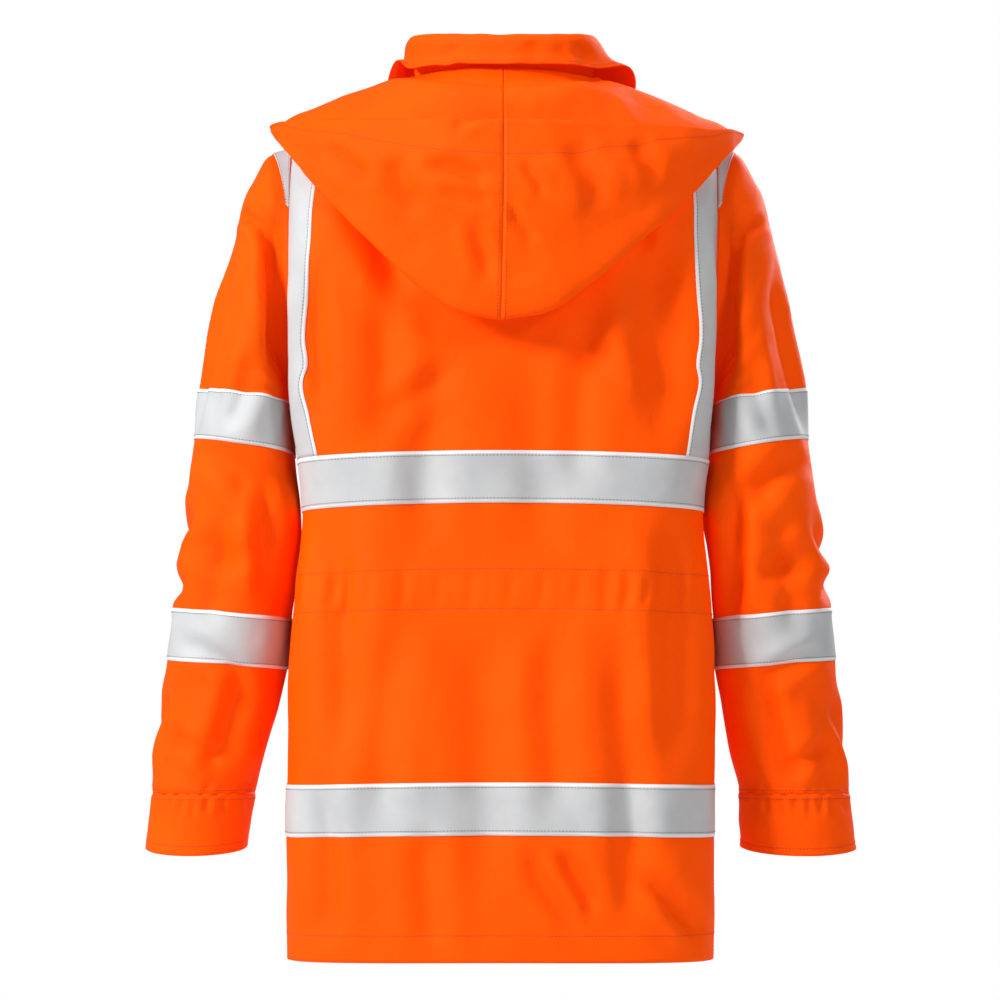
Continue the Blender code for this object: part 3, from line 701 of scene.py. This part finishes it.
@dataclass(frozen=True)
class OxfordCloth:
    """Fluorescent orange cloth with a coated back: fine weave, soft satin, and a faint painted glow that
    lifts its shaded parts.
    """

    colour: tuple[float, float, float] = (1.0, 0.092, 0.0)
    deep: tuple[float, float, float] = (0.95, 0.080, 0.0)
    # strength of the painted glow: an orange emission that keeps the cloth's shaded parts lit
    painted_glow: float = 0.08
    roughness: float = 0.58
    pitch: float = 0.9

    def material(self, name: str) -> bpy.types.Material:
        """The finish as a material."""
        nodes = Nodes(name)
        shader = nodes.shader
        place = nodes.add("ShaderNodeTexCoord")
        mottled = nodes.noise(place.outputs["Object"], 9.0, 3.0)
        colour = nodes.ramp(mottled, ((0.3, (*self.deep, 1.0)), (0.7, (*self.colour, 1.0))))
        nodes.join(colour, shader.inputs["Base Color"])
        rough = nodes.math("MULTIPLY", nodes.noise(place.outputs["Object"], 35.0), 0.18)
        nodes.join(nodes.math("ADD", rough, self.roughness - 0.09), shader.inputs["Roughness"])
        crinkle = nodes.bump(nodes.noise(place.outputs["Object"], 70.0, 3.0), 0.9)
        weave = nodes.bump(nodes.weave(place.outputs["UV"], self.pitch), 0.05, crinkle)
        nodes.join(weave, shader.inputs["Normal"])
        shader.inputs["Specular IOR Level"].default_value = 0.05
        # Painted glow: a faint orange emission that lights the shaded folds from within, standing in for
        # light.
        shader.inputs["Emission Color"].default_value = (1.0, 0.055, 0.0, 1.0)
        shader.inputs["Emission Strength"].default_value = self.painted_glow
        return nodes.material


@dataclass(frozen=True)
class ReflectiveTape:
    """Silver-grey bead tape with a paler border along both long edges."""

    grey: tuple[float, float, float] = (0.52, 0.525, 0.53)
    shade: tuple[float, float, float] = (0.45, 0.455, 0.465)
    border: tuple[float, float, float] = (0.72, 0.72, 0.72)
    width: float = 50.0
    border_width: float = 3.0

    def material(self, name: str, across: str = "Y") -> bpy.types.Material:
        """The finish as a material.

        Args:
            name: the material's name.
            across: the UV axis, X or Y, that runs across the tape.

        Returns:
            The material.
        """
        nodes = Nodes(name)
        shader = nodes.shader
        place = nodes.add("ShaderNodeTexCoord")
        parts = nodes.add("ShaderNodeSeparateXYZ")
        nodes.join(place.outputs["UV"], parts.inputs[0])
        middle = nodes.math("SUBTRACT", parts.outputs[across], 0.5 * self.width * MM)
        inner = (0.5 * self.width - self.border_width) * MM
        is_border = nodes.math("GREATER_THAN", nodes.math("ABSOLUTE", middle), inner)
        cloudy = nodes.noise(place.outputs["Object"], 22.0, 4.0)
        grey = nodes.ramp(cloudy, ((0.3, (*self.shade, 1.0)), (0.7, (*self.grey, 1.0))))
        mixed = nodes.add("ShaderNodeMix", data_type="RGBA")
        nodes.join(is_border, mixed.inputs[0])
        nodes.join(grey, mixed.inputs[6])
        mixed.inputs[7].default_value = (*self.border, 1.0)
        nodes.join(mixed.outputs[2], shader.inputs["Base Color"])
        crinkle = nodes.bump(nodes.noise(place.outputs["Object"], 45.0, 3.0), 0.8)
        beads = nodes.bump(nodes.noise(place.outputs["Object"], 2600.0, 1.0), 0.02, crinkle)
        nodes.join(beads, shader.inputs["Normal"])
        shader.inputs["Roughness"].default_value = 0.6
        shader.inputs["Specular IOR Level"].default_value = 0.2
        return nodes.material


@dataclass(frozen=True)
class ThreadFinish:
    """Matt sewing thread in one colour."""

    colour: tuple[float, float, float]

    def material(self, name: str) -> bpy.types.Material:
        """The finish as a material."""
        nodes = Nodes(name)
        place = nodes.add("ShaderNodeTexCoord")
        dark = tuple(0.8 * part for part in self.colour)
        twist = nodes.noise(place.outputs["Object"], 900.0)
        colour = nodes.ramp(twist, ((0.35, (*dark, 1.0)), (0.65, (*self.colour, 1.0))))
        nodes.join(colour, nodes.shader.inputs["Base Color"])
        nodes.shader.inputs["Roughness"].default_value = 0.7
        return nodes.material


# ---- folds of each part, in millimetres as seen from their side ------------------------------
B, F = Facing.BACK, Facing.FRONT
BACK_FOLDS = (
    Fold(B, (150, -120), (163, -345), 20, 5.5, -6, 1.5),
    Fold(B, (160, -380), (158, -665), 17, 4.5, 8, 1.4),
    Fold(B, (-152, -80), (-92, -205), 17, 5.0, 10),
    Fold(B, (-118, -190), (-112, -345), 15, 3.0, 5),
    Fold(B, (-176, -150), (-170, -330), 11, 3.2, -4),
    Fold(B, (-58, -240), (-74, -450), 19, 2.8, -5),
    Fold(B, (22, -235), (38, -455), 22, 2.4, 6),
    Fold(B, (92, -180), (74, -400), 15, 2.6, -7),
    Fold(B, (-168, -385), (-150, -655), 14, 3.6, 6, 1.4),
    Fold(B, (-100, -490), (-112, -720), 16, 2.6, -6),
    Fold(B, (-28, -500), (-20, -790), 20, 2.4, 7),
    Fold(B, (48, -495), (58, -705), 15, 2.4, -5),
    Fold(B, (108, -490), (122, -820), 15, 3.2, 6),
    Fold(B, (-178, -640), (-165, -826), 13, 3.2, 4),
    Fold(B, (-70, -690), (-62, -828), 14, 2.4, -3),
    Fold(B, (50, -718), (92, -792), 7, 3.4, 3, 1.6),
    Fold(B, (20, -716), (78, -806), 9, 2.4, -4),
    Fold(B, (128, -742), (194, -812), 8, 3.8, 4, 1.6),
    Fold(B, (128, -100), (138, -158), 8, 3.4, 3),
    Fold(B, (60, -225), (120, -300), 12, 2.0, 8),
    Fold(B, (-40, -262), (-110, -318), 11, 1.8, -6),
)
PUCKERS = (
    (-197, 40, 2.0), (-182, 52, 2.6), (-166, 36, 2.2), (-151, 58, 2.8), (-128, 34, 1.6),
    (-96, 46, 1.8), (-62, 30, 1.3), (-31, 40, 1.5), (6, 34, 1.2), (37, 44, 1.5), (71, 36, 1.5),
    (98, 50, 2.0), (118, 40, 2.6), (136, 34, 1.9), (150, 54, 2.8), (171, 42, 2.3), (190, 50, 2.2),
)
WAIST_Z = -474.0
WAIST_FOLDS = tuple(
    Fold(B, (x + 3, WAIST_Z + reach * 0.55), (x - 2, WAIST_Z - reach * 0.6), 5.0, 0.42 * depth, 2.0)
    for x, reach, depth in PUCKERS
)
LEFT_SLEEVE_FOLDS = (
    Fold(B, (-226, -90), (-218, -285), 9, 5.0, 3, 1.8),
    Fold(B, (-262, -100), (-226, -132), 6, 3.2, 3),
    Fold(B, (-258, -140), (-282, -345), 16, 3.6, -6),
    Fold(B, (-240, -235), (-268, -330), 10, 2.6, 5),
    Fold(B, (-300, -330), (-232, -392), 12, 3.4, 6, 1.5),
    Fold(B, (-226, -350), (-224, -505), 9, 4.6, -3, 1.6),
    Fold(B, (-310, -420), (-240, -452), 11, 3.0, -5, 1.4),
    Fold(B, (-272, -380), (-290, -520), 13, 3.0, 4),
    Fold(B, (-322, -520), (-242, -560), 9, 2.4, 4),
    Fold(B, (-252, -540), (-284, -655), 10, 3.4, 5, 1.5),
    Fold(B, (-316, -560), (-318, -668), 12, 2.6, -4),
    Fold(B, (-334, -612), (-268, -648), 8, 2.6, 4),
    Fold(Facing.LEFT, (-40, -130), (-30, -330), 14, 3.0, 5),
    Fold(Facing.LEFT, (30, -150), (12, -300), 16, 2.6, -5),
    Fold(Facing.LEFT, (-45, -395), (35, -440), 12, 3.2, 6),
    Fold(Facing.LEFT, (-40, -470), (40, -455), 10, 2.4, -6),
    Fold(Facing.LEFT, (-20, -560), (30, -650), 11, 2.8, 4),
    Fold(F, (-240, -120), (-262, -310), 15, 3.2, 5),
    Fold(F, (-300, -390), (-238, -420), 11, 3.4, 5),
    Fold(F, (-305, -470), (-236, -440), 10, 2.6, -4),
    Fold(F, (-270, -560), (-300, -655), 12, 2.8, 4),
)
SEAM_PUCKERS = tuple(
    Fold(facing, (side * x, -655.0 - 3.0 * (i % 3)), (side * (x + 2), -698.0 + 4.0 * (i % 2)), 4.2, 1.1)
    for facing in (B, F)
    for side in (-1.0, 1.0)
    for i, x in enumerate((246, 258, 270, 285, 298, 309, 323, 335))
)
HOOD_FOLDS = (
    Fold(B, (-72, -74), (-8, -98), 9, 2.8, 5),
    Fold(B, (-60, -96), (-6, -112), 6, 1.8, -3),
    Fold(B, (-48, -44), (-6, -22), 6, 2.0, 3),
    Fold(B, (18, -74), (42, -108), 5, 2.0, 2),
    Fold(B, (4, -112), (36, -150), 6, 2.4, -3),
    Fold(B, (-30, -130), (-10, -186), 8, 2.2, 3),
    Fold(B, (60, -52), (96, -120), 12, 3.0, 6),
    Fold(B, (-100, -58), (-74, -128), 12, 2.8, -6),
    Fold(B, (120, -48), (150, -92), 9, 2.4, 4),
    Fold(B, (-168, -44), (-120, -92), 9, 2.6, -4),
    Fold(Facing.TOP, (-130, -34), (-188, -74), 7, 3.0, 4),
    Fold(Facing.TOP, (118, -40), (176, -66), 8, 2.6, -4),
    Fold(Facing.TOP, (-60, -104), (-90, -132), 6, 2.2, 2),
    Fold(Facing.TOP, (34, -106), (60, -140), 7, 2.2, -3),
)
COLLAR_FOLDS = (
    Fold(B, (-46, 62), (-58, 34), 7, 0.9, 1),
    Fold(B, (30, 62), (36, 36), 9, 0.8, -1),
    Fold(B, (74, 66), (86, 40), 6, 1.0, 1),
)
SWELLS = (Ripple(95.0, 3.2, 3.1), Ripple(34.0, 1.0, 7.7))
SMALL_SWELLS = (Ripple(48.0, 1.8, 5.3), Ripple(19.0, 0.7, 9.1))
NECK_PLACE = (0.0, 0.0, 30.0)


# ---- sub-assemblies --------------------------------------------------------------------------
@dataclass(frozen=True)
class Cut:
    """How a piece was cut before it was sewn: width, length and the share that is cloth."""

    width: float
    length: float
    share: float = 1.0


@dataclass
class Wardrobe:
    """What every sub-assembly shares: finishes, threads and the way a piece is placed."""

    cloth: OxfordCloth = OxfordCloth()
    tape: ReflectiveTape = ReflectiveTape()
    cloth_wall: float = 1.2
    tape_wall: float = 0.55
    tape_lift: float = 0.95

    def __post_init__(self) -> None:
        """Makes the shared materials."""
        self.orange = self.cloth.material("orange_oxford")
        self.silver = self.tape.material("silver_tape", "Y")
        self.silver_upright = self.tape.material("silver_tape_upright", "X")
        self.orange_thread = ThreadFinish((0.50, 0.026, 0.0)).material("orange_thread")
        self.grey_thread = ThreadFinish((0.16, 0.165, 0.18)).material("grey_thread")

    def place(self, piece: bpy.types.Object, node: str, slot: str, cut: Cut, held: str = "hung") -> None:
        """Puts a finished piece in its node's place."""
        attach(piece, "root")
        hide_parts(node)
        LOG.info("%s made", piece.name)

    def lay_cloth(self, cloth: Cloth, cut: Cut) -> bpy.types.Object:
        """Makes a piece of the orange cloth."""
        piece = shell(cloth.node + "_cloth", cloth.points, cloth.closed, self.cloth_wall, self.orange)
        self.place(piece, cloth.node, "coated_cloth", cut)
        return piece

    def lay_tape(self, node: str, points: np.ndarray, normals: np.ndarray, closed: bool,
                 cut: Cut, upright: bool = False) -> bpy.types.Object:
        """Makes a tape on some of a cloth's points, moved out."""
        material = self.silver_upright if upright else self.silver
        lifted = points + normals * self.tape_lift * MM
        piece = shell(node + "_silver", lifted, closed, self.tape_wall, material, 0 if upright else 1)
        self.place(piece, node, "reflective_tape", cut)
        return piece

    def sew_tape(self, sewing: Sewing, points: np.ndarray, normals: np.ndarray, upright: bool) -> None:
        """Sews a tape along both long edges."""
        for index in (1, -2):
            if upright:
                sewing.line(points[:, index], normals[:, index], self.tape_lift)
            else:
                sewing.line(points[index], normals[index], self.tape_lift)


@dataclass
class Body:
    """Back, fronts, storm flap and the tapes on them."""

    wardrobe: Wardrobe
    step: float = 4.4
    hem_place: tuple[float, float, float] = (0.0, 0.0, -900.0)
    rows: int = 20
    hem_stitch: float = -801.0
    waist_stitches: tuple[float, ...] = (-455.0, -493.0)
    bands: tuple[str, ...] = ("chest_band", "hem_band")

    def build(self) -> None:
        """Makes the body's pieces."""
        hem = (Edge.FIRST_ROW,)
        folds = BACK_FOLDS + WAIST_FOLDS
        hidden = turned(mirrored(BACK_FOLDS, 22.0, 0.8) + WAIST_FOLDS, 0.85)
        back = Cloth("back_panel", self.rows, self.hem_place, None, self.step, folds, SWELLS, hem)
        self.wardrobe.lay_cloth(back, Cut(0.58, 0.87, 0.94))
        threads = Sewing("body_stitches", self.wardrobe.orange_thread)
        silver_threads = Sewing("body_tape_stitches", self.wardrobe.grey_thread)
        self._sew(threads, back)
        fronts = {}
        for side in ("left", "right"):
            name = "front_" + side
            fronts[side] = Cloth(name, self.rows, self.hem_place, None, self.step, hidden, SWELLS, hem)
            self.wardrobe.lay_cloth(fronts[side], Cut(0.29, 0.86, 0.93))
            self._sew(threads, fronts[side])
        flap = Cloth("storm_flap", self.rows, self.hem_place, None, self.step, (), (), hem)
        self.wardrobe.lay_cloth(flap, Cut(0.066, 0.83))
        for index in (2, -3):
            threads.line(flap.points[:, index], flap.normals[:, index])
        for band in self.bands:
            self._band(silver_threads, band + "_back", back, 0.56)
            self._band(silver_threads, band + "_flap", flap, 0.064)
            for side, cloth in fronts.items():
                self._band(silver_threads, band + "_front_" + side, cloth, 0.25)
        for side, cloth in fronts.items():
            self._brace(silver_threads, "brace_" + side, back, cloth)
        threads.finish()
        silver_threads.finish()

    def _sew(self, threads: Sewing, cloth: Cloth) -> None:
        """Hem, waist channel and side seams of a panel."""
        for height in (self.hem_stitch, *self.waist_stitches):
            row = cloth.row_near(height)
            threads.line(cloth.points[row], cloth.normals[row])
        for column in (1, -2):
            threads.line(cloth.points[:, column], cloth.normals[:, column])

    def _band(self, threads: Sewing, node: str, cloth: Cloth, length: float) -> None:
        """A level tape on a panel."""
        rows, columns = cloth.under(node)
        points, normals = cloth.points[rows, columns], cloth.normals[rows, columns]
        self.wardrobe.lay_tape(node, points, normals, False, Cut(0.050, length))
        self.wardrobe.sew_tape(threads, points, normals, False)

    def _brace(self, threads: Sewing, node: str, back: Cloth, front: Cloth) -> None:
        """A tape up the back, over the shoulder and down the front."""
        parts = []
        for cloth in (back, front):
            rows, columns = cloth.under(node)
            parts.append((cloth.points[rows, columns], cloth.normals[rows, columns]))
        (behind, behind_n), (before, before_n) = parts
        points = np.concatenate([behind[:-1], before[::-1, ::-1]])
        normals = np.concatenate([behind_n[:-1], before_n[::-1, ::-1]])
        self.wardrobe.lay_tape(node, points, normals, False, Cut(0.050, 0.80), upright=True)
        self.wardrobe.sew_tape(threads, points, normals, True)


@dataclass
class Sleeve:
    """One sleeve with its cuff, bands and the curved tape on its head."""

    wardrobe: Wardrobe
    side: str
    mirror: float
    rows: int = 15
    step: float = 4.5
    head_shares: tuple[float, ...] = (0.92, 0.80, 0.52, 0.16)
    head_inset: float = 0.05
    head_rows: int = 12
    head_lift: float = 1.45

    def build(self) -> None:
        """Makes the sleeve's pieces."""
        folds = LEFT_SLEEVE_FOLDS
        if self.mirror > 0:
            folds = mirrored(LEFT_SLEEVE_FOLDS, 9.0, 0.95)
        armhole = (self.mirror * 210.0, 0.0, -150.0)
        underarm = (self.mirror * 210.0, 0.0, -272.0)
        sleeve = Cloth("sleeve_" + self.side, self.rows, armhole, underarm, self.step,
                       folds + SEAM_PUCKERS, SWELLS, hold=10.0)
        self.wardrobe.lay_cloth(sleeve, Cut(0.50, 0.62, 0.80))
        wrist = (self.mirror * 290.0, 0.0, -674.0)
        inner_wrist = (self.mirror * 240.0, 10.0, -674.0)
        cuff = Cloth("cuff_" + self.side, 3, wrist, inner_wrist, 3.0, SEAM_PUCKERS,
                     SMALL_SWELLS[1:], (Edge.LAST_ROW,), hold=5.0, tuck=True)
        self.wardrobe.lay_cloth(cuff, Cut(0.355, 0.056))
        threads = Sewing("sleeve_stitches_" + self.side, self.wardrobe.orange_thread)
        for row in (1, -2):
            threads.line(sleeve.points[row], sleeve.normals[row])
        for row in (2, -4):
            threads.line(cuff.points[row], cuff.normals[row])
        threads.finish()
        silver_threads = Sewing("sleeve_tape_stitches_" + self.side, self.wardrobe.grey_thread)
        for place, length in (("upper", 0.43), ("lower", 0.40)):
            node = "sleeve_band_" + place + "_" + self.side
            rows, _ = sleeve.under(node)
            points, normals = sleeve.points[rows], sleeve.normals[rows]
            self.wardrobe.lay_tape(node, points, normals, True, Cut(0.050, length))
            self.wardrobe.sew_tape(silver_threads, points, normals, False)
        self._head_tape(sleeve, silver_threads)
        silver_threads.finish()

    def _head_tape(self, sleeve: Cloth, threads: Sewing) -> None:
        """The curved tape beside the armhole seam, widest at the shoulder."""
        top = int(sleeve.coarse[0, :-1, 2].argmax())
        reach = len(self.head_shares) - 1
        columns = np.arange(sleeve.column_at[top - reach], sleeve.column_at[top + reach] + 1)
        offsets = np.interp(columns, sleeve.column_at, np.arange(len(sleeve.column_at))) - top
        bends = np.arange(len(self.head_shares))
        wide = np.interp(np.abs(offsets), bends, self.head_shares)
        wide = np.convolve(np.pad(wide, 3, mode="edge"), np.ones(7) / 7.0, mode="valid")
        last = sleeve.row_at[1]
        points = np.zeros((self.head_rows + 1, len(columns), 3))
        normals = np.zeros_like(points)
        for k in range(self.head_rows + 1):
            at = (self.head_inset + (wide - self.head_inset) * k / self.head_rows) * last
            low = np.clip(at.astype(int), 0, last - 1)
            part = (at - low)[:, None]
            for grid, out in ((sleeve.points, points), (sleeve.normals, normals)):
                out[k] = grid[low, columns] * (1.0 - part) + grid[low + 1, columns] * part
        normals /= np.linalg.norm(normals, axis=2, keepdims=True)
        lift = (self.head_lift - self.wardrobe.tape_lift) * MM
        points = points + normals * lift
        node = "shoulder_tape_" + self.side
        self.wardrobe.lay_tape(node, points, normals, False, Cut(0.040, 0.216, 0.42))
        threads.line(points[1], normals[1], self.wardrobe.tape_lift)
        threads.line(points[-2], normals[-2], self.wardrobe.tape_lift)


@dataclass
class Collar:
    """Stand with its fall turned down outside."""

    wardrobe: Wardrobe
    step: float = 2.2
    rows: int = 7

    def build(self) -> None:
        """Makes the collar."""
        free = (Edge.LAST_ROW, Edge.FIRST_COLUMN, Edge.LAST_COLUMN)
        collar = Cloth("collar", self.rows, NECK_PLACE, None, self.step, COLLAR_FOLDS,
                       SMALL_SWELLS[1:], free, hold=8.0)
        self.wardrobe.lay_cloth(collar, Cut(0.60, 0.085, 0.9))
        threads = Sewing("collar_stitches", self.wardrobe.orange_thread)
        threads.line(collar.points[-5], collar.normals[-5])
        threads.line(collar.points[2], collar.normals[2])
        threads.finish()


@dataclass
class Hood:
    """The two hood panels, laid back, with the centre seam between them."""

    wardrobe: Wardrobe
    step: float = 3.7
    rows: int = 10
    hem_width: float = 26.0

    def build(self) -> None:
        """Makes both panels and their stitching."""
        threads = Sewing("hood_stitches", self.wardrobe.orange_thread)
        for side in ("left", "right"):
            panel = Cloth("hood_" + side, self.rows, NECK_PLACE, None, self.step, HOOD_FOLDS,
                          SMALL_SWELLS, (Edge.LAST_ROW,), hold=9.0, lip=3.0)
            self.wardrobe.lay_cloth(panel, Cut(0.27, 0.46, 0.80))
            edge = panel.points.shape[0] - 1 - int(round(self.hem_width / self.step))
            threads.line(panel.points[edge], panel.normals[edge])
            centre = 1 if abs(panel.coarse[0, 0, 0]) < abs(panel.coarse[0, -1, 0]) else -2
            threads.line(panel.points[:, centre], panel.normals[:, centre])
        threads.finish()


@dataclass
class Studio:
    """Floor, light and camera."""

    floor_drop: float = 0.75
    camera_place: tuple[float, float, float] = (0.0, -3.4, -0.57)
    aim: tuple[float, float, float] = (-0.001, 0.0, -0.383)
    lens: float = 124.06
    light: float = 0.24
    lamps: tuple[tuple[tuple[float, float, float], float, float], ...] = (
        ((-2.7, -1.9, 1.2), 0.8, 148.0),
        ((2.3, -2.6, 1.2), 0.8, 38.0),
        ((1.6, 3.0, 1.0), 1.8, 110.0),
        ((0.0, -0.6, 2.6), 1.4, 30.0),
    )

    def build(self) -> None:
        """Sets up the studio."""
        self._floor()
        self._world()
        for i, (place, size, power) in enumerate(self.lamps):
            lamp = bpy.data.lights.new("softbox_%d" % i, "AREA")
            lamp.size = size
            lamp.energy = power
            item = bpy.data.objects.new(lamp.name, lamp)
            self._point(item, place, (0.0, 0.0, -0.35))
        camera = bpy.data.cameras.new("camera")
        camera.lens = self.lens
        item = bpy.data.objects.new("camera", camera)
        self._point(item, self.camera_place, self.aim)
        bpy.context.scene.camera = item
        bpy.context.scene.view_settings.view_transform = "Standard"

    def _point(self, item: bpy.types.Object, place: tuple, target: tuple) -> None:
        """Places an item and turns it to a target."""
        item.location = place
        turn = Vector(target) - Vector(place)
        item.rotation_euler = turn.to_track_quat("-Z", "Y").to_euler()
        bpy.context.scene.collection.objects.link(item)

    def _floor(self) -> None:
        """A plain pale floor below the hem."""
        bm = bmesh.new()
        bmesh.ops.create_grid(bm, x_segments=1, y_segments=1, size=3.0)
        low = CAD_BOX[0][2] - self.floor_drop
        bmesh.ops.translate(bm, verts=bm.verts, vec=Vector((0.0, 0.0, low)))
        mesh = bpy.data.meshes.new("floor")
        bm.to_mesh(mesh)
        bm.free()
        nodes = Nodes("pale_floor")
        nodes.shader.inputs["Base Color"].default_value = (0.86, 0.86, 0.86, 1.0)
        nodes.shader.inputs["Roughness"].default_value = 0.9
        mesh.materials.append(nodes.material)
        floor = bpy.data.objects.new("floor", mesh)
        bpy.context.scene.collection.objects.link(floor)

    def _world(self) -> None:
        """White to the eye and a little dimmer as a light."""
        world = bpy.data.worlds.new("studio")
        bpy.context.scene.world = world
        world.use_nodes = True
        tree = world.node_tree
        background = tree.nodes["Background"]
        path = tree.nodes.new("ShaderNodeLightPath")
        strength = tree.nodes.new("ShaderNodeMapRange")
        strength.inputs["To Min"].default_value = self.light
        strength.inputs["To Max"].default_value = 1.0
        tree.links.new(path.outputs["Is Camera Ray"], strength.inputs["Value"])
        tree.links.new(strength.outputs["Result"], background.inputs["Strength"])
        background.inputs["Color"].default_value = (1.0, 1.0, 1.0, 1.0)


def main() -> None:
    """Builds the jacket's looks and the studio."""
    logging.basicConfig(level=logging.INFO, format="%(name)s: %(message)s")
    Studio().build()
    wardrobe = Wardrobe()
    Body(wardrobe).build()
    Sleeve(wardrobe, "left", -1.0).build()
    Sleeve(wardrobe, "right", 1.0).build()
    Collar(wardrobe).build()
    Hood(wardrobe).build()


if __name__ == "__main__":
    main()
